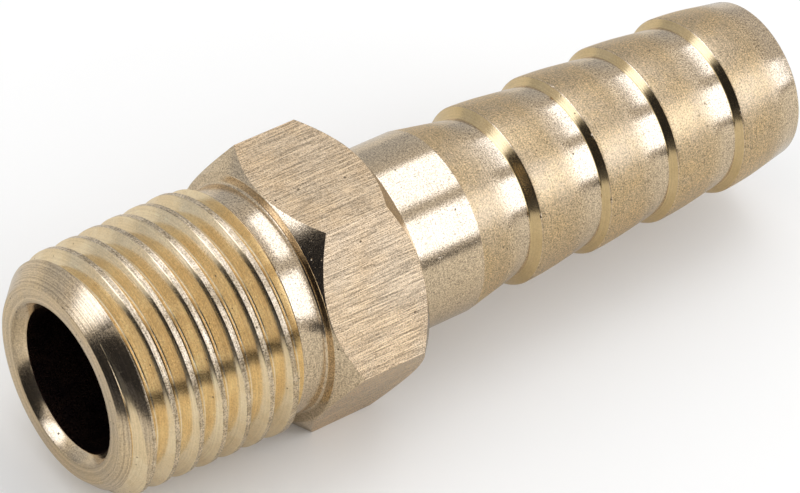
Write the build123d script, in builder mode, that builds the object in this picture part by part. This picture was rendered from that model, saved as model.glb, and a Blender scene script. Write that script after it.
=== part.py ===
from build123d import *
from math import atan, degrees, radians, sqrt, tan
import os

# Brass hose tail, turned from one hexagon bar: a taper pipe thread, a hexagon for the spanner and a barbed
# tail for the hose, with one bore right through.
# X runs along the axis from the thread's end face, whose centre is the origin, to the hose end.
# Z points out of the hexagon's upper flat, and the part lies on the flat below. Sizes are millimetres.

# Bore
bore_diameter = 8.0
countersink_diameter = 9.0
countersink_angle = 80

# Taper thread, 1/4-18 NPT, right-handed. The gauge diameter is over the crests, and the first crest's station
# is the one on the upper side.
thread_length = 10.2
thread_pitch = 25.4 / 18
crest_width = 0.33
flank_angle = 30
gauge_length = 5.786
gauge_diameter = 13.5
taper_per_length = 1 / 16
end_chamfer = 1.2
thread_run_out = 0.4
first_crest = 0.903

# Neck and hexagon
neck_length = 1.5
shoulder_height = 0.65
foot_length = 0.8
foot_depth = 0.05
across_flats = 14.0
hexagon_width = 6.05
face_step = 0.05
corner_clearance = 0.2

# Collar behind the hexagon, and the taper down to the barbs
collar_length = 4.93
collar_wall = 1.2
taper_length = 3.98
taper_end_wall = 0.52

# Barbs, each a cone that ends in a step with a leaning face
barb_count = 4
barb_pitch = 4.652
barb_wall = 0.66
barb_height = 0.47
step_lean = 0.28
last_barb_length = 4.41
tail_end_wall = 0.545

# Stations along the axis
neck_start = thread_length + thread_run_out
hexagon_start = neck_start + neck_length
hexagon_end = hexagon_start + hexagon_width
collar_end = hexagon_end + collar_length
first_step = collar_end + taper_length
barb_steps = [first_step + number * barb_pitch for number in range(barb_count)]
tail_end = barb_steps[-1] + last_barb_length


# Radius over the thread's crests
def crest_radius(station):
    return gauge_diameter / 2 + (station - gauge_length) * taper_per_length / 2


# Radii
bore_radius = bore_diameter / 2
neck_radius = across_flats / 2 - shoulder_height
hexagon_face_radius = across_flats / 2 - face_step
hexagon_corner_radius = across_flats / sqrt(3)
collar_radius = bore_radius + collar_wall
taper_end_radius = bore_radius + taper_end_wall
barb_root_radius = bore_radius + barb_wall
barb_crest_radius = barb_root_radius + barb_height
tail_end_radius = bore_radius + tail_end_wall

# The thread's groove comes to a point at its root, and its section runs on past the crests by a clearance
groove_clearance = 0.1
thread_depth = (thread_pitch - crest_width) / 2 / tan(radians(flank_angle))
groove_half_width = (thread_depth + groove_clearance) * tan(radians(flank_angle))

# The groove lies midway between crests. Its helix starts above the axis and runs past both ends of the thread.
over_run = 2 * thread_pitch
helix_start = first_crest + thread_pitch / 2 - over_run
helix_end = neck_start + groove_half_width
taper_angle = degrees(atan(taper_per_length / 2))

# Half section that the thread keeps inside: a chamfer at the end face, and the run-out to the neck
thread_outline = [
    (0, 0),
    (0, crest_radius(end_chamfer) - end_chamfer),
    (end_chamfer + over_run, crest_radius(end_chamfer) + over_run),
    (thread_length, crest_radius(thread_length) + over_run),
    (thread_length, crest_radius(thread_length)),
    (neck_start, neck_radius),
    (neck_start, 0),
]

# Half section that the hexagon's corners keep inside, with a chamfer of 45 degrees at each end
corner_chamfer = hexagon_corner_radius - hexagon_face_radius + corner_clearance
corner_outline = [
    (hexagon_start, 0),
    (hexagon_start, hexagon_face_radius),
    (hexagon_start + corner_chamfer, hexagon_face_radius + corner_chamfer),
    (hexagon_end - corner_chamfer, hexagon_face_radius + corner_chamfer),
    (hexagon_end, hexagon_face_radius),
    (hexagon_end, 0),
]

# Half section of neck, collar and barbs. The neck's foot rises out of the thread's root, where the groove ends.
foot_start = neck_start - foot_length
tail_outline = [
    (foot_start, 0),
    (foot_start, crest_radius(foot_start) - thread_depth - foot_depth),
    (neck_start, neck_radius),
    (hexagon_start, neck_radius),
    (hexagon_end, collar_radius),
    (collar_end, collar_radius),
    (first_step - step_lean, taper_end_radius),
    (first_step, barb_crest_radius),
]
for step in barb_steps[1:]:
    tail_outline += [(step - step_lean, barb_root_radius), (step, barb_crest_radius)]
tail_outline += [(tail_end, tail_end_radius), (tail_end, 0)]

os.makedirs("parts", exist_ok=True)

# Hexagon, with flats above and below and its corners chamfered
with BuildPart() as hexagon:
    with BuildSketch(Plane.YZ.offset(hexagon_start)):
        RegularPolygon(radius=across_flats / 2, side_count=6, major_radius=False)
    extrude(amount=hexagon_width)
    with BuildSketch(Plane.XZ):
        with BuildLine():
            Polyline(*corner_outline, close=True)
        make_face()
    revolve(axis=Axis.X, mode=Mode.INTERSECT)

with BuildPart() as hose_tail:
    # Taper bar, longer than the thread at both ends
    with BuildSketch(Plane.XZ):
        with BuildLine():
            Polyline(
                (-over_run, 0),
                (-over_run, crest_radius(-over_run)),
                (neck_start + over_run, crest_radius(neck_start + over_run)),
                (neck_start + over_run, 0),
                close=True,
            )
        make_face()
    revolve(axis=Axis.X)

    # Thread groove, cut along the bar
    with BuildLine():
        helix = Helix(
            pitch=thread_pitch,
            height=helix_end - helix_start,
            radius=crest_radius(helix_start),
            center=(helix_start, 0, 0),
            direction=(1, 0, 0),
            cone_angle=taper_angle,
        )
    with BuildSketch(Plane(origin=helix @ 0, x_dir=(1, 0, 0), z_dir=(0, -1, 0))):
        with BuildLine():
            Polyline(
                (0, -thread_depth),
                (groove_half_width, groove_clearance),
                (-groove_half_width, groove_clearance),
                close=True,
            )
        make_face()
    sweep(path=helix, is_frenet=True, mode=Mode.SUBTRACT)

    # Ends of the thread
    with BuildSketch(Plane.XZ):
        with BuildLine():
            Polyline(*thread_outline, close=True)
        make_face()
    revolve(axis=Axis.X, mode=Mode.INTERSECT)

    # Neck, collar and barbs
    with BuildSketch(Plane.XZ):
        with BuildLine():
            Polyline(*tail_outline, close=True)
        make_face()
    revolve(axis=Axis.X)
    add(hexagon.part)

    # Bore, countersunk at the thread's end face
    with Locations(-Plane.YZ):
        CounterSinkHole(bore_radius, countersink_diameter / 2, tail_end, countersink_angle)

hose_tail.part.label = "hose_tail"
export_step(hose_tail.part, "parts/hose_tail.step")
print("length", round(tail_end, 3), "volume", round(hose_tail.part.volume, 2), "solids", len(hose_tail.part.solids()))
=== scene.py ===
import bpy
import bmesh
from math import atan2, cos, pi, radians, sin, tan
from mathutils import Matrix, Quaternion, Vector


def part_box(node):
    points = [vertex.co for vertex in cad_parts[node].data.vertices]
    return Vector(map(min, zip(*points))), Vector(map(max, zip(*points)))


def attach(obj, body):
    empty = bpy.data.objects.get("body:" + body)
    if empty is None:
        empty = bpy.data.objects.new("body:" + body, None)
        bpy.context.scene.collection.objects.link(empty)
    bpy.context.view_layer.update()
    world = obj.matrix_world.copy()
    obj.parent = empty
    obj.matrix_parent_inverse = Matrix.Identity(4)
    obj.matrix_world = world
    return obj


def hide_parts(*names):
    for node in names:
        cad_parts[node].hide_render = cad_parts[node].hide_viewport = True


# A brass hose tail on a pale table. Its mesh is made in millimetres and brought to metres at the end.
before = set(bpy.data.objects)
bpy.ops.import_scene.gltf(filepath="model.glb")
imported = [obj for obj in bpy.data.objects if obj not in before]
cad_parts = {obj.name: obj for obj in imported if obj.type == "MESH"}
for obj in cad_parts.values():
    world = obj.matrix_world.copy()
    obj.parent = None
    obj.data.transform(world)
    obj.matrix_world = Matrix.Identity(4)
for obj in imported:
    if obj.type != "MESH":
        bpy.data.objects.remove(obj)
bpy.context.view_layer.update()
boxLow, boxHigh = (corner * 1000 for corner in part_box("hose_tail"))
print("stage: frame loaded, hose tail", round(boxHigh.x - boxLow.x, 2), "mm long")


# The turned part, in millimetres from the thread's end face
blank = {
    "columns": 240,            # facets round the axis
    "boreRadius": 4.0,
    "countersinkRadius": 4.5,
    "countersinkDepth": 0.596,
    "endChamfer": 1.2,
    "threadLength": 10.2,
    "threadRunOut": 0.4,
    "neckLength": 1.5,
    "shoulderHeight": 0.65,
    "hexagonWidth": 6.05,
    "faceStep": 0.05,
    "cornerClearance": 0.3,    # turned blank above the hexagon's corners
    "collarLength": 4.93,
    "collarRadius": 5.2,
    "taperLength": 3.98,
    "taperEndRadius": 4.52,
    "barbCount": 4,
    "barbPitch": 4.652,
    "barbRootRadius": 4.66,
    "barbCrestRadius": 5.13,
    "stepSlope": 0.56,         # lean of a barb's step, per height
    "rootWidth": 0.42,         # strip ahead of a step's edge that the tool left bright
    "barbSwell": (1.2, 5.08),  # the barb's cone is a little convex: length behind its crest, and radius there
    "tailEndRadius": 4.545,
    "edgeBreak": 0.04,         # rounding of edges
    "footBreak": 0.15,
    "barbBreak": 0.05,
    "rootBreak": 0.07,
    "swellBreak": 0.9,
    "tailEndBreak": 0.12,
    "fineBreak": 0.1,          # smaller roundings get fewer facets
    "sharpAngle": 24,          # degrees
}

# How faces are told apart for their finish
marks = {
    # The bore's dark colour is painted shade; this strip at its mouth keeps the turned brass colour
    "mouthWidth": 0.2,         # bright strip of the bore at the tail's end
    "leadIn": 0.3,             # from the end face to the first crest
    "boreNearness": 0.01,
    "crestNearness": 0.02,
    "stepNearness": 0.02,
}

# The thread's groove, right-handed, on a taper of 1 in 16
thread = {
    "pitch": 25.4 / 18,
    "gaugeRadius": 6.75,       # over the crests, at the hand-tight plane
    "gaugeLength": 5.786,
    "radiusPerLength": 1 / 32,
    "crestWidth": 0.33,
    "flankAngle": 30,          # degrees
    "firstCrest": 0.903,       # station of a crest where it passes +Z
    "rootBreak": 0.22,
    "crestBreak": 0.06,        # depth of the crests' broken edges, and their width per depth
    "crestFlare": 1.4,
    "clearance": 0.1,          # cutter above the crests
    "leadPitches": 1.5,        # cutter ahead of the first crest
    "turns": 9,
    "liftStation": 10.35,      # where the tool starts to leave the metal
    "liftTurns": 0.4,
    "liftShare": 0.6,          # rise in that part of a turn, as a share of the groove's depth
    "liftLimit": 2.0,
}

# Finishes of the one piece, in the order of its material slots; the bore's slot carries painted shade
finishSlots = ["turnedBrass", "grooveBrass", "drawnBrass", "borePaintedShadeBrass",
               "crestBrass", "rootBrass", "facedBrass"]


def crestRadius(station):
    return thread["gaugeRadius"] + (station - thread["gaugeLength"]) * thread["radiusPerLength"]


# Stations and radii that follow from the sizes above
neckStart = blank["threadLength"] + blank["threadRunOut"]
hexagonStart = neckStart + blank["neckLength"]
hexagonEnd = hexagonStart + blank["hexagonWidth"]
collarEnd = hexagonEnd + blank["collarLength"]
firstStep = collarEnd + blank["taperLength"]
barbSteps = [firstStep + number * blank["barbPitch"] for number in range(blank["barbCount"])]
tailEnd = boxHigh.x
flatDistance = boxHigh.z
neckRadius = flatDistance - blank["shoulderHeight"]
faceRadius = flatDistance - blank["faceStep"]
cornerChamfer = boxHigh.y + blank["cornerClearance"] - faceRadius


# Station, radius and rounding of each corner
def latheSection():
    small = blank["edgeBreak"]
    section = [
        (tailEnd, blank["boreRadius"], small),
        (blank["countersinkDepth"], blank["boreRadius"], small),
        (0, blank["countersinkRadius"], small),
        (0, crestRadius(blank["endChamfer"]) - blank["endChamfer"], small),
        (blank["endChamfer"], crestRadius(blank["endChamfer"]), small),
        (blank["threadLength"], crestRadius(blank["threadLength"]), small),
        (neckStart, neckRadius, small),
        (hexagonStart, neckRadius, blank["footBreak"]),
        (hexagonStart, faceRadius, small),
        (hexagonStart + cornerChamfer, faceRadius + cornerChamfer, small),
        (hexagonEnd - cornerChamfer, faceRadius + cornerChamfer, small),
        (hexagonEnd, faceRadius, small),
        (hexagonEnd, blank["collarRadius"], small),
        (collarEnd, blank["collarRadius"], small),
    ]
    root = blank["taperEndRadius"]
    for step in barbSteps:
        lean = (blank["barbCrestRadius"] - root) * blank["stepSlope"]
        section += [
            (step - lean, root, blank["rootBreak"]),
            (step, blank["barbCrestRadius"], blank["barbBreak"]),
            (step + blank["barbSwell"][0], blank["barbSwell"][1], blank["swellBreak"]),
        ]
        root = blank["barbRootRadius"]
    return section + [(tailEnd, blank["tailEndRadius"], blank["tailEndBreak"])]


def finishFaces(faces, finish):
    for face in faces:
        face.material_index = finishSlots.index(finish)


def millFlats(bm):
    for number in range(6):
        angle = radians(30 + 60 * number)
        outward = Vector((0, cos(angle), sin(angle)))
        cut = bmesh.ops.bisect_plane(bm, geom=bm.verts[:] + bm.edges[:] + bm.faces[:], dist=1e-5,
                                     plane_co=outward * flatDistance, plane_no=outward, clear_outer=True)
        rim = [item for item in cut["geom_cut"] if isinstance(item, bmesh.types.BMEdge)]
        finishFaces(bmesh.ops.holes_fill(bm, edges=rim, sides=0)["faces"], "drawnBrass")


def placeFinish(station, radius):
    boreFrom, boreTo = blank["countersinkDepth"], tailEnd - marks["mouthWidth"]
    # Bore faces get the painted shade of the hollow
    if boreFrom < station < boreTo and radius < blank["boreRadius"] + marks["boreNearness"]:
        return "borePaintedShadeBrass"
    onCrests = marks["leadIn"] < station < blank["threadLength"]
    if onCrests and abs(radius - crestRadius(station)) < marks["crestNearness"]:
        return "crestBrass"
    if any(step - blank["rootWidth"] < station < step - marks["stepNearness"] for step in barbSteps):
        return "rootBrass"
    return "facedBrass" if station < blank["endChamfer"] else "turnedBrass"


def markFinishes(bm):
    for face in bm.faces:
        middle = face.calc_center_median()
        finishFaces([face], placeFinish(middle.x, middle.yz.length))


def turnBlank():
    bm = bmesh.new()
    section = latheSection()
    corners = [bm.verts.new((station, 0, radius)) for station, radius, rounding in section]
    bm.faces.new(corners)
    for size in sorted({rounding for station, radius, rounding in section}):
        chosen = [corner for corner, (station, radius, rounding) in zip(corners, section) if rounding == size]
        bmesh.ops.bevel(bm, geom=chosen, offset=size, offset_type="OFFSET", affect="VERTICES",
                        segments=2 if size < blank["fineBreak"] else 4, profile=0.5, material=-1,
                        clamp_overlap=True)
    bmesh.ops.delete(bm, geom=bm.faces[:], context="FACES_ONLY")
    bmesh.ops.spin(bm, geom=bm.verts[:] + bm.edges[:], cent=(0, 0, 0), axis=(1, 0, 0),
                   angle=2 * pi, steps=blank["columns"], use_merge=True)
    markFinishes(bm)
    millFlats(bm)
    bmesh.ops.recalc_face_normals(bm, faces=bm.faces[:])
    return bm


# One section with its root rounded, turned along the thread; its lifting end leaves the metal in the neck
def grooveCutter():
    flank = tan(radians(thread["flankAngle"]))
    halfTop = (thread["pitch"] - thread["crestWidth"]) / 2
    depth = halfTop / flank
    edge = thread["crestBreak"]
    over = thread["clearance"]
    # The first groove lies ahead of the end face, above the axis
    firstGroove = thread["firstCrest"] - thread["leadPitches"] * thread["pitch"]
    shoulder = halfTop - edge * flank
    flare = shoulder + (over + edge) * (edge * thread["crestFlare"] + edge * flank) / (edge * 2)
    outline = [(0, -depth), (shoulder, -edge), (flare, over), (-flare, over), (-shoulder, -edge)]
    radius = crestRadius(firstGroove)
    bm = bmesh.new()
    corners = [bm.verts.new((firstGroove + along, 0, radius + up)) for along, up in outline]
    bm.faces.new(corners)
    bmesh.ops.bevel(bm, geom=corners[:1], offset=thread["rootBreak"], offset_type="OFFSET",
                    affect="VERTICES", segments=4, profile=0.5, material=-1, clamp_overlap=True)
    bmesh.ops.spin(bm, geom=bm.faces[:], cent=(0, 0, 0), axis=(1, 0, 0), angle=thread["turns"] * 2 * pi,
                   dvec=(thread["pitch"] / blank["columns"], 0, 0), steps=thread["turns"] * blank["columns"])
    for corner in bm.verts:
        x, y, z = corner.co
        angle = (atan2(z, y) / (2 * pi) - 0.25) % 1
        turn = round((x - firstGroove) / thread["pitch"] - angle) + angle
        station = firstGroove + turn * thread["pitch"]
        lift = max(0.0, (station - thread["liftStation"]) / (thread["liftTurns"] * thread["pitch"]))
        rise = min(lift, thread["liftLimit"]) * depth * thread["liftShare"]
        grow = (x - firstGroove) * thread["radiusPerLength"] + rise
        scale = 1 + grow / corner.co.yz.length
        corner.co.y *= scale
        corner.co.z *= scale
    finishFaces(bm.faces, "grooveBrass")
    bmesh.ops.recalc_face_normals(bm, faces=bm.faces[:])
    return bm


def putObject(name, data):
    item = bpy.data.objects.new(name, data)
    bpy.context.scene.collection.objects.link(item)
    return item


def asObject(bm, name, materials=()):
    mesh = bpy.data.meshes.new(name)
    for material in materials:
        mesh.materials.append(material)
    bm.to_mesh(mesh)
    bm.free()
    return putObject(name, mesh)


def cutThread(piece, cutter):
    cut = piece.modifiers.new("thread", "BOOLEAN")
    cut.operation = "DIFFERENCE"
    cut.solver = "EXACT"
    cut.material_mode = "INDEX"
    cut.object = cutter
    evaluated = piece.evaluated_get(bpy.context.evaluated_depsgraph_get())
    mesh = bpy.data.meshes.new_from_object(evaluated)
    piece.modifiers.clear()
    piece.data = mesh
    bpy.data.objects.remove(cutter)


burrs = {
    # Station, angle from +Y towards +Z, radius: five on the barbs' crests, one where the thread runs out
    "places": [(31.712, 82, 5.11), (31.712, 125, 5.11), (27.06, 157, 5.11),
               (31.712, 167, 5.11), (41.016, 149, 5.11), (10.6, 125, 6.42)],
    "size": (0.09, 0.06, 0.2),     # half its length along the axis, outwards and round the crest
}


def addBurrs(bm):
    size = Matrix.Diagonal((*burrs["size"], 1))
    for station, angle, radius in burrs["places"]:
        place = Matrix.Rotation(radians(angle), 4, "X") @ Matrix.Translation((station, radius, 0))
        bmesh.ops.create_icosphere(bm, subdivisions=2, radius=1, matrix=place @ size)


def makeHoseTail(materials):
    piece = asObject(turnBlank(), "hoseTail", materials)
    cutThread(piece, asObject(grooveCutter(), "grooveCutter", materials))
    bm = bmesh.new()
    bm.from_mesh(piece.data)
    addBurrs(bm)
    bmesh.ops.scale(bm, vec=(0.001, 0.001, 0.001), verts=bm.verts[:])
    openEdges = [edge for edge in bm.edges if not edge.is_manifold]
    print("stage: hose tail made,", len(bm.faces), "faces,", len(openEdges), "open edges")
    bm.to_mesh(piece.data)
    bm.free()
    piece.data.shade_smooth()
    piece.data.set_sharp_from_angle(angle=radians(blank["sharpAngle"]))
    normals = piece.modifiers.new("normals", "WEIGHTED_NORMAL")     # the wide faces keep their own normals
    normals.keep_sharp = True
    return piece


def addNode(tree, kind, **settings):
    node = tree.nodes.new(kind)
    for name, value in settings.items():
        setattr(node, name, value)
    return node


def feed(tree, socket, value):
    if isinstance(value, bpy.types.NodeSocket):
        tree.links.new(value, socket)
    else:
        socket.default_value = value


def calculate(tree, operation, *values):
    node = addNode(tree, "ShaderNodeMath", operation=operation)
    for socket, value in zip(node.inputs, values):
        feed(tree, socket, value)
    return node.outputs[0]


def stretch(tree, value, low, high, toLow=0.0, toHigh=1.0):
    node = addNode(tree, "ShaderNodeMapRange", interpolation_type="SMOOTHSTEP")
    names = ("Value", "From Min", "From Max", "To Min", "To Max")
    for name, number in zip(names, (value, low, high, toLow, toHigh)):
        feed(tree, node.inputs[name], number)
    return node.outputs["Result"]


def scaled(tree, vector, factor):
    node = addNode(tree, "ShaderNodeVectorMath", operation="SCALE")
    feed(tree, node.inputs[0], vector)
    feed(tree, node.inputs["Scale"], factor)
    return node.outputs[0]


def axes(tree, vector):
    split = addNode(tree, "ShaderNodeSeparateXYZ")
    feed(tree, split.inputs[0], vector)
    return split.outputs


# How far a vector reaches along a direction, from 0 at the outer value to 1 at the inner one
def reach(tree, vector, direction, outer, inner):
    along = addNode(tree, "ShaderNodeVectorMath", operation="DOT_PRODUCT")
    feed(tree, along.inputs[0], vector)
    feed(tree, along.inputs[1], direction)
    return stretch(tree, along.outputs["Value"], outer, inner)


def noise(tree, vector, scale, detail, roughness=0.6):
    node = addNode(tree, "ShaderNodeTexNoise")
    feed(tree, node.inputs["Vector"], vector)
    feed(tree, node.inputs["Scale"], scale)
    node.inputs["Detail"].default_value = detail
    node.inputs["Roughness"].default_value = roughness
    return node.outputs[0]


# An effect's node group, which works on a place in millimetres
def startGroup(name, numbers, output):
    group = bpy.data.node_groups.new(name, "ShaderNodeTree")
    group.interface.new_socket(name="Place", in_out="INPUT", socket_type="NodeSocketVector")
    for number in numbers:
        group.interface.new_socket(name=number, in_out="INPUT", socket_type="NodeSocketFloat")
    group.interface.new_socket(name=output, in_out="OUTPUT", socket_type="NodeSocketFloat")
    return group, group.nodes.new("NodeGroupInput").outputs, group.nodes.new("NodeGroupOutput").inputs[output]


# Fine rings left by the lathe tool, on cylinders, cones and faces alike
def makeTurningLines():
    radiusShare = 0.8      # of the radius in the rings' spacing, for faces across the axis
    waverScale = 0.4
    group, given, out = startGroup("turningLines", ("Pitch", "Waver"), "Lines")
    part = axes(group, given["Place"])
    squares = [calculate(group, "MULTIPLY", part[axis], part[axis]) for axis in ("Y", "Z")]
    radius = calculate(group, "SQRT", calculate(group, "ADD", *squares))
    along = calculate(group, "MULTIPLY_ADD", radius, radiusShare, part["X"])
    waver = calculate(group, "MULTIPLY", noise(group, given["Place"], waverScale, 2), given["Waver"])
    rings = addNode(group, "ShaderNodeTexNoise", noise_dimensions="1D")
    feed(group, rings.inputs["W"],
         calculate(group, "DIVIDE", calculate(group, "ADD", along, waver), given["Pitch"]))
    rings.inputs["Scale"].default_value = 1
    rings.inputs["Detail"].default_value = 3
    rings.inputs["Roughness"].default_value = 0.7
    feed(group, out, rings.outputs[0])
    return group


# Streaks along the bar, from the die it was drawn through
def makeDrawnStreaks():
    group, given, out = startGroup("drawnStreaks", ("Length", "Width"), "Streaks")
    sizes = addNode(group, "ShaderNodeCombineXYZ")
    feed(group, sizes.inputs["X"], given["Length"])
    feed(group, sizes.inputs["Y"], given["Width"])
    feed(group, sizes.inputs["Z"], given["Width"])
    place = addNode(group, "ShaderNodeVectorMath", operation="DIVIDE")
    feed(group, place.inputs[0], given["Place"])
    feed(group, place.inputs[1], sizes.outputs[0])
    feed(group, out, noise(group, place.outputs[0], 1, 4, 0.65))
    return group


# Small dark pits, only in a share of the cells
def makePits():
    group, given, out = startGroup("pits", ("Size", "Share"), "Pits")
    cells = addNode(group, "ShaderNodeTexVoronoi")
    feed(group, cells.inputs["Vector"], given["Place"])
    feed(group, cells.inputs["Scale"], calculate(group, "DIVIDE", 1.0, given["Size"]))
    pick = addNode(group, "ShaderNodeSeparateColor")
    feed(group, pick.inputs[0], cells.outputs["Color"])
    smallest, spread, raggedness = 0.05, 0.12, 0.1      # shares of a cell
    chosen = calculate(group, "LESS_THAN", pick.outputs["Red"], given["Share"])
    edge = calculate(group, "MULTIPLY_ADD", pick.outputs["Green"], spread, smallest)
    rough = noise(group, given["Place"], 12, 2)
    ragged = calculate(group, "MULTIPLY_ADD", rough, raggedness, cells.outputs["Distance"])
    ragged = calculate(group, "SUBTRACT", ragged, raggedness / 2)
    depth = stretch(group, calculate(group, "DIVIDE", ragged, edge), 0.5, 1.3, 1.0, 0.0)
    feed(group, out, calculate(group, "MULTIPLY", chosen, depth))
    return group


# Short scratches, slanting across the axis
def makeScratches():
    group, given, out = startGroup("scratches", ("Share",), "Scratches")
    turn = addNode(group, "ShaderNodeMapping")
    feed(group, turn.inputs["Vector"], given["Place"])
    turn.inputs["Rotation"].default_value = (0.5, 0.3, 0.7)
    turn.inputs["Scale"].default_value = (0.9, 14.0, 9.0)
    start, full = 0.76, 0.79       # of the noise, before a scratch and in it
    mark = noise(group, turn.outputs[0], 1, 1)
    feed(group, out, stretch(group, mark, calculate(group, "SUBTRACT", start, given["Share"]), full))
    return group


# Smooth metal near the barbs' roots, on the collar and the neck, where tumbling has not reached
def makeShelter():
    smoothFrom, smoothTo = 0.42, 0.85      # shares of a barb's length
    frontShare = 0.8                       # on the collar and ahead of it
    group, given, out = startGroup("shelter", ("First Step", "Pitch", "Collar End"), "Shelter")
    station = axes(group, given["Place"])["X"]
    along = calculate(group, "SUBTRACT", station, given["First Step"])
    onBarb = calculate(group, "FRACT", calculate(group, "DIVIDE", along, given["Pitch"]))
    root = stretch(group, onBarb, smoothFrom, smoothTo)
    onTail = calculate(group, "GREATER_THAN", station, given["Collar End"])
    tail = calculate(group, "MULTIPLY", root, onTail)
    front = calculate(group, "MULTIPLY_ADD", onTail, -frontShare, frontShare)
    feed(group, out, calculate(group, "MAXIMUM", tail, front))
    return group


# Fine uneven grain of handled metal
def makeGrain():
    group, given, out = startGroup("grain", ("Size",), "Grain")
    feed(group, out, noise(group, given["Place"], calculate(group, "DIVIDE", 1.0, given["Size"]), 3, 0.7))
    return group


# Broad tarnish
def makeTarnish():
    group, given, out = startGroup("tarnish", ("Size",), "Tarnish")
    broad = noise(group, given["Place"], calculate(group, "DIVIDE", 1.0, given["Size"]), 4, 0.65)
    feed(group, out, stretch(group, broad, 0.38, 0.64))
    return group


effects = {
    "lines": makeTurningLines(), "streaks": makeDrawnStreaks(), "pits": makePits(), "grain": makeGrain(),
    "tarnish": makeTarnish(), "scratches": makeScratches(), "shelter": makeShelter(),
}

# Colours are linear; depths are in micrometres, sizes in millimetres. Lines are pitch and waver, streaks length
# and width, pits size of cell and share of cells. The texture's shade is its share in the speckle.
finishes = {
    "turnedBrass": {
        "colour": (0.70, 0.52, 0.29), "tarnishColour": (0.63, 0.485, 0.30), "tarnishSize": 2.5,
        "roughness": 0.38, "shelteredRoughness": 0.11, "shelteredColour": (0.75, 0.61, 0.43),
        "lines": (0.10, 0.25), "lineDepth": 0.3, "textureShade": 0.15, "grain": 0.08, "grainDepth": 3.6,
        "pits": (0.34, 0.2), "pitDepth": 10.0, "speckle": 0.78, "scratchDepth": 5.0,
    },
    "facedBrass": {
        "colour": (0.74, 0.58, 0.37), "tarnishColour": (0.68, 0.55, 0.38), "tarnishSize": 2.0,
        "roughness": 0.17,
        "lines": (0.14, 0.12), "lineDepth": 3.0, "textureShade": 0.6, "grain": 0.08, "grainDepth": 1.6,
        "pits": (0.34, 0.16), "pitDepth": 10.0, "speckle": 0.5,
    },
    "grooveBrass": {
        "colour": (0.97, 0.80, 0.53), "tarnishColour": (0.90, 0.72, 0.45), "tarnishSize": 1.6,
        "roughness": 0.16,
        "lines": (0.13, 0.10), "lineDepth": 2.0, "textureShade": 0.6, "grain": 0.10, "grainDepth": 1.2,
        "pits": (0.36, 0.12), "pitDepth": 8.0, "speckle": 0.2,
    },
    "drawnBrass": {
        "colour": (0.75, 0.55, 0.33), "tarnishColour": (0.70, 0.54, 0.35), "tarnishSize": 3.5,
        "roughness": 0.28,
        "streaks": (1.8, 0.065), "streakDepth": 11.0, "textureShade": 1.4, "grain": 0.08, "grainDepth": 2.0,
        "pits": (0.5, 0.12), "pitDepth": 10.0, "speckle": 0.58,
    },
    # Painted shade: the bore's colours are brass darkened nearly to black for the shade inside the hollow, its
    # tarnish colour the darker patches of that shade
    "borePaintedShadeBrass": {
        "colour": (0.16, 0.10, 0.08), "tarnishColour": (0.09, 0.06, 0.06), "tarnishSize": 1.2,
        "roughness": 0.30,
        "lines": (0.16, 0.2), "lineDepth": 2.0, "textureShade": 0.6, "grain": 0.12, "grainDepth": 2.0,
        "pits": (0.35, 0.12), "pitDepth": 10.0, "speckle": 0.2,
    },
    "crestBrass": {
        "colour": (0.78, 0.64, 0.45), "tarnishColour": (0.56, 0.44, 0.28), "tarnishSize": 0.5,
        "roughness": 0.28,
        "lines": (0.11, 0.3), "lineDepth": 3.0, "textureShade": 0.6, "grain": 0.10, "grainDepth": 9.0,
        "pits": (0.3, 0.25), "pitDepth": 12.0, "speckle": 0.6,
    },
    "rootBrass": {
        "colour": (0.76, 0.58, 0.32), "tarnishColour": (0.70, 0.53, 0.28), "tarnishSize": 1.5,
        "roughness": 0.14,
        "lines": (0.09, 0.1), "lineDepth": 2.0, "textureShade": 0.6, "grain": 0.10, "grainDepth": 1.0,
        "pits": (0.4, 0.10), "pitDepth": 8.0, "speckle": 0.15,
    },
}

# What all finishes share
metal = {
    "grainSpan": (0.3, 0.75),          # the grain's noise, over which the roughness goes between its shares
    "roughnessShares": (0.8, 1.3),
    "speckleSpan": 0.32,               # half the span of the texture that the speckle covers
    "lightShare": 0.8,                 # the speckle's light side against its dark side
    "pitShade": 0.75,
    "scratchShare": 0.02,
    "scratchShade": 0.5,
    "edgeRadius": 0.00003,             # metres, rounding of edges by shading
    "bumpDistance": 0.000001,          # metres, so that depths are in micrometres
}


def useEffect(tree, name, place, *numbers):
    node = addNode(tree, "ShaderNodeGroup", node_tree=effects[name])
    feed(tree, node.inputs["Place"], place)
    for socket, number in zip(node.inputs[1:], numbers):
        socket.default_value = number
    return node.outputs[0]


def mixColours(tree, factor, first, second, blend="MIX"):
    node = addNode(tree, "ShaderNodeMix", data_type="RGBA", blend_type=blend)
    feed(tree, node.inputs["Factor"], factor)
    feed(tree, node.inputs["A"], first)
    feed(tree, node.inputs["B"], second)
    return node.outputs["Result"]


# A material with its Principled shader, and the object's own place in millimetres
def startMaterial(name):
    material = bpy.data.materials.new(name)
    material.use_nodes = True
    tree = material.node_tree
    place = scaled(tree, addNode(tree, "ShaderNodeTexCoord").outputs["Object"], 1000.0)
    return material, tree, tree.nodes["Principled BSDF"], place


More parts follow.
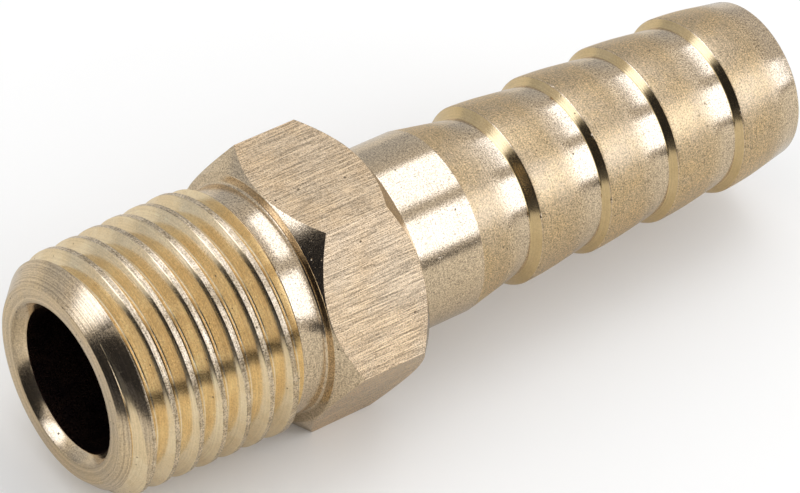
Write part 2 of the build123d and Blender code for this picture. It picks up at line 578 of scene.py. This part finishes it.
def makeBrass(name):
    finish = finishes[name]
    material, tree, shader, place = startMaterial(name)
    shader.inputs["Metallic"].default_value = 1
    grain = useEffect(tree, "grain", place, finish["grain"])
    pits = useEffect(tree, "pits", place, *finish["pits"])
    tarnish = useEffect(tree, "tarnish", place, finish["tarnishSize"])
    height = calculate(tree, "MULTIPLY", grain, finish["grainDepth"])
    height = calculate(tree, "MULTIPLY_ADD", pits, -finish["pitDepth"], height)
    kind, depth = ("lines", "lineDepth") if "lines" in finish else ("streaks", "streakDepth")
    texture = useEffect(tree, kind, place, *finish[kind])
    height = calculate(tree, "MULTIPLY_ADD", texture, finish[depth], height)
    colour = mixColours(tree, tarnish, (*finish["colour"], 1), (*finish["tarnishColour"], 1))
    smoothest, roughest = (finish["roughness"] * share for share in metal["roughnessShares"])
    roughness = stretch(tree, grain, *metal["grainSpan"], smoothest, roughest)
    if "shelteredRoughness" in finish:
        shelter = useEffect(tree, "shelter", place, firstStep, blank["barbPitch"], collarEnd)
        colour = mixColours(tree, shelter, colour, (*finish["shelteredColour"], 1))
        roughness = stretch(tree, shelter, 0.0, 1.0, roughness, finish["shelteredRoughness"])
        scratches = useEffect(tree, "scratches", place, metal["scratchShare"])
        height = calculate(tree, "MULTIPLY_ADD", scratches, -finish["scratchDepth"], height)
        pits = calculate(tree, "MAXIMUM", pits, calculate(tree, "MULTIPLY", scratches, metal["scratchShade"]))
    share = finish["textureShade"]
    fine = calculate(tree, "ADD", grain, calculate(tree, "MULTIPLY", texture, share))
    middle = 0.5 + share / 2
    span, speckle = metal["speckleSpan"], finish["speckle"]
    shade = stretch(tree, fine, middle - span, middle + span, 1 - speckle, 1 + speckle * metal["lightShare"])
    shade = calculate(tree, "MULTIPLY", shade, calculate(tree, "MULTIPLY_ADD", pits, -metal["pitShade"], 1.0))
    grey = addNode(tree, "ShaderNodeCombineColor")
    for socket in grey.inputs:
        feed(tree, socket, shade)
    feed(tree, shader.inputs["Base Color"], mixColours(tree, 1.0, colour, grey.outputs[0], "MULTIPLY"))
    feed(tree, shader.inputs["Roughness"], roughness)
    edges = addNode(tree, "ShaderNodeBevel", samples=4)
    edges.inputs["Radius"].default_value = metal["edgeRadius"]
    bump = addNode(tree, "ShaderNodeBump")
    bump.inputs["Distance"].default_value = metal["bumpDistance"]
    feed(tree, bump.inputs["Height"], height)
    feed(tree, bump.inputs["Normal"], edges.outputs[0])
    feed(tree, shader.inputs["Normal"], bump.outputs[0])
    return material


studio = {
    "cameraPosition": (-87.678, -130.310, 150.426),   # millimetres
    "cameraTarget": (20.824, -0.833, 0.0),
    "cameraRoll": 4.936,                              # degrees
    "lens": 193.15,
    "sensorWidth": 36,
    "overhead": ((0.47, 0.10, 0.87), 0.22, 0.16, 0.22),    # direction, width, height, watts
    "front": ((0.60, -0.65, 0.42), 0.26, 0.34, 0.55),
    "lampTarget": (0.022, 0, 0),                      # metres
    "lampDistance": 0.5,
}

# The tent and what stands in it, as directions in which the metal sees them. Colours are linear.
tent = {
    "light": (0.97, 0.97, 0.97, 1),          # on the table and behind the part
    "low": (0.58, 0.56, 0.55, 1),
    "high": (0.62, 0.60, 0.59, 1),
    "highSpan": (0.05, 0.6),                 # of the way up
    "back": (0.52, 0.53, 0.56, 1),
    "backSpan": (0.55, 0.85),
    # Panels: degrees about X from straight up towards the front, and the share of X
    "panels": [(-35, 16, 0.32, 0.56), (33, 77, 0.34, 0.88)],
    "panelSoftness": (2.5, 0.03),
    "panelLight": (2.1, 2.25, 2.7, 1),
    # A lamp beyond the thread's end, then the unlit corner and the camera: direction, and outer and inner
    # limits as cosines
    "sideLamp": ((-0.757, 0.337, 0.56), 0.955, 0.985),
    "dark": [((-0.942, -0.306, 0.139), 0.83, 0.90), ((-0.50, -0.68, 0.54), 0.86, 0.93)],
    "darkLight": (0.02, 0.02, 0.025, 1),
    # The dark line along the table's edge: its height, and where it ends along X and Y
    "line": (-0.01, 0.09, 0.02),
    "lineEnd": (0.49, 0.55),
    "lineBack": (-0.5, -0.2),
}

table = {
    "size": 4.0,                             # metres
    "paper": (0.93, 0.93, 0.93, 1),
    "roughness": 0.8,
    # Painted shade for the metal's reflections: the metal sees it darker, and painted near black beyond its
    # near left side: a direction, and millimetres along it
    "seenByMetal": (0.68, 0.66, 0.63, 1),
    "paintedUnlit": (0.03, 0.03, 0.04, 1),
    "paintedUnlitSide": ((-0.81, -0.59, 0.0), 22.0, 40.0),
}


def setCamera():
    camera = putObject("camera", bpy.data.cameras.new("camera"))
    position = Vector(studio["cameraPosition"]) / 1000
    target = Vector(studio["cameraTarget"]) / 1000
    turn = (target - position).to_track_quat("-Z", "Y") @ Quaternion((0, 0, 1), radians(studio["cameraRoll"]))
    camera.matrix_world = Matrix.Translation(position) @ turn.to_matrix().to_4x4()
    camera.data.lens = studio["lens"]
    camera.data.sensor_width = studio["sensorWidth"]
    camera.data.clip_start = 0.001
    bpy.context.scene.camera = camera


# A lamp for the table's light, which the metal doesn't mirror
def softBox(name):
    direction, width, height, power = studio[name]
    lamp = putObject(name, bpy.data.lights.new(name, "AREA"))
    lamp.data.shape = "RECTANGLE"
    lamp.data.size = width
    lamp.data.size_y = height
    lamp.data.energy = power
    centre = Vector(studio["lampTarget"])
    place = centre + Vector(direction).normalized() * studio["lampDistance"]
    turn = (centre - place).to_track_quat("-Z", "Y")
    lamp.matrix_world = Matrix.Translation(place) @ turn.to_matrix().to_4x4()
    lamp.visible_glossy = False


def window(tree, value, low, high, soft):
    opening = stretch(tree, value, low - soft, low + soft)
    return calculate(tree, "MULTIPLY", opening, stretch(tree, value, high - soft, high + soft, 1.0, 0.0))


# One colour for the metal's reflections and another for everything else
def seenByMetal(tree, plain, mirrored):
    return mixColours(tree, addNode(tree, "ShaderNodeLightPath").outputs["Is Glossy Ray"], plain, mirrored)


# White tent: even for the table, and for the metal with bright panels, an unlit corner and a dark line
# along the table's edge
def makeTent():
    world = bpy.data.worlds.new("studio")
    world.use_nodes = True
    tree = world.node_tree
    way = addNode(tree, "ShaderNodeTexCoord").outputs["Generated"]
    part = axes(tree, way)
    light = mixColours(tree, stretch(tree, part["Z"], *tent["highSpan"]), tent["low"], tent["high"])
    light = mixColours(tree, stretch(tree, part["Y"], *tent["backSpan"]), light, tent["back"])
    turn = calculate(tree, "ARCTAN2", calculate(tree, "MULTIPLY", part["Y"], -1.0), part["Z"])
    turn = calculate(tree, "MULTIPLY", turn, 180 / pi)
    turnSoftness, shareSoftness = tent["panelSoftness"]
    for low, high, nearest, farthest in tent["panels"]:
        panel = calculate(tree, "MULTIPLY", window(tree, turn, low, high, turnSoftness),
                          window(tree, part["X"], nearest, farthest, shareSoftness))
        light = mixColours(tree, panel, light, tent["panelLight"])
    light = mixColours(tree, reach(tree, way, *tent["sideLamp"]), light, tent["panelLight"])
    dark = window(tree, part["Z"], *tent["line"])
    for axis, end in (("X", "lineEnd"), ("Y", "lineBack")):
        dark = calculate(tree, "MULTIPLY", dark, stretch(tree, part[axis], *tent[end], 1.0, 0.0))
    for spot in tent["dark"]:
        dark = calculate(tree, "MAXIMUM", dark, reach(tree, way, *spot))
    light = mixColours(tree, dark, light, tent["darkLight"])
    feed(tree, tree.nodes["Background"].inputs["Color"], seenByMetal(tree, tent["light"], light))
    bpy.context.scene.world = world


def layTable():
    bm = bmesh.new()
    bmesh.ops.create_grid(bm, x_segments=1, y_segments=1, size=table["size"] / 2)
    bmesh.ops.translate(bm, vec=(0, 0, boxLow.z / 1000), verts=bm.verts[:])
    material, tree, shader, place = startMaterial("palePaper")
    # Painted shade: the table is darker in the metal's reflections, and near black beyond its near left side
    seen = mixColours(tree, reach(tree, place, *table["paintedUnlitSide"]), table["seenByMetal"], table["paintedUnlit"])
    feed(tree, shader.inputs["Base Color"], seenByMetal(tree, table["paper"], seen))
    shader.inputs["Roughness"].default_value = table["roughness"]
    return asObject(bm, "floor", [material])


bpy.context.scene.view_settings.view_transform = "Standard"
setCamera()
hoseTail = makeHoseTail([makeBrass(name) for name in finishSlots])
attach(hoseTail, "root")
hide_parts("hose_tail")
softBox("overhead")
softBox("front")
makeTent()
floor = layTable()
print("stage: studio set")
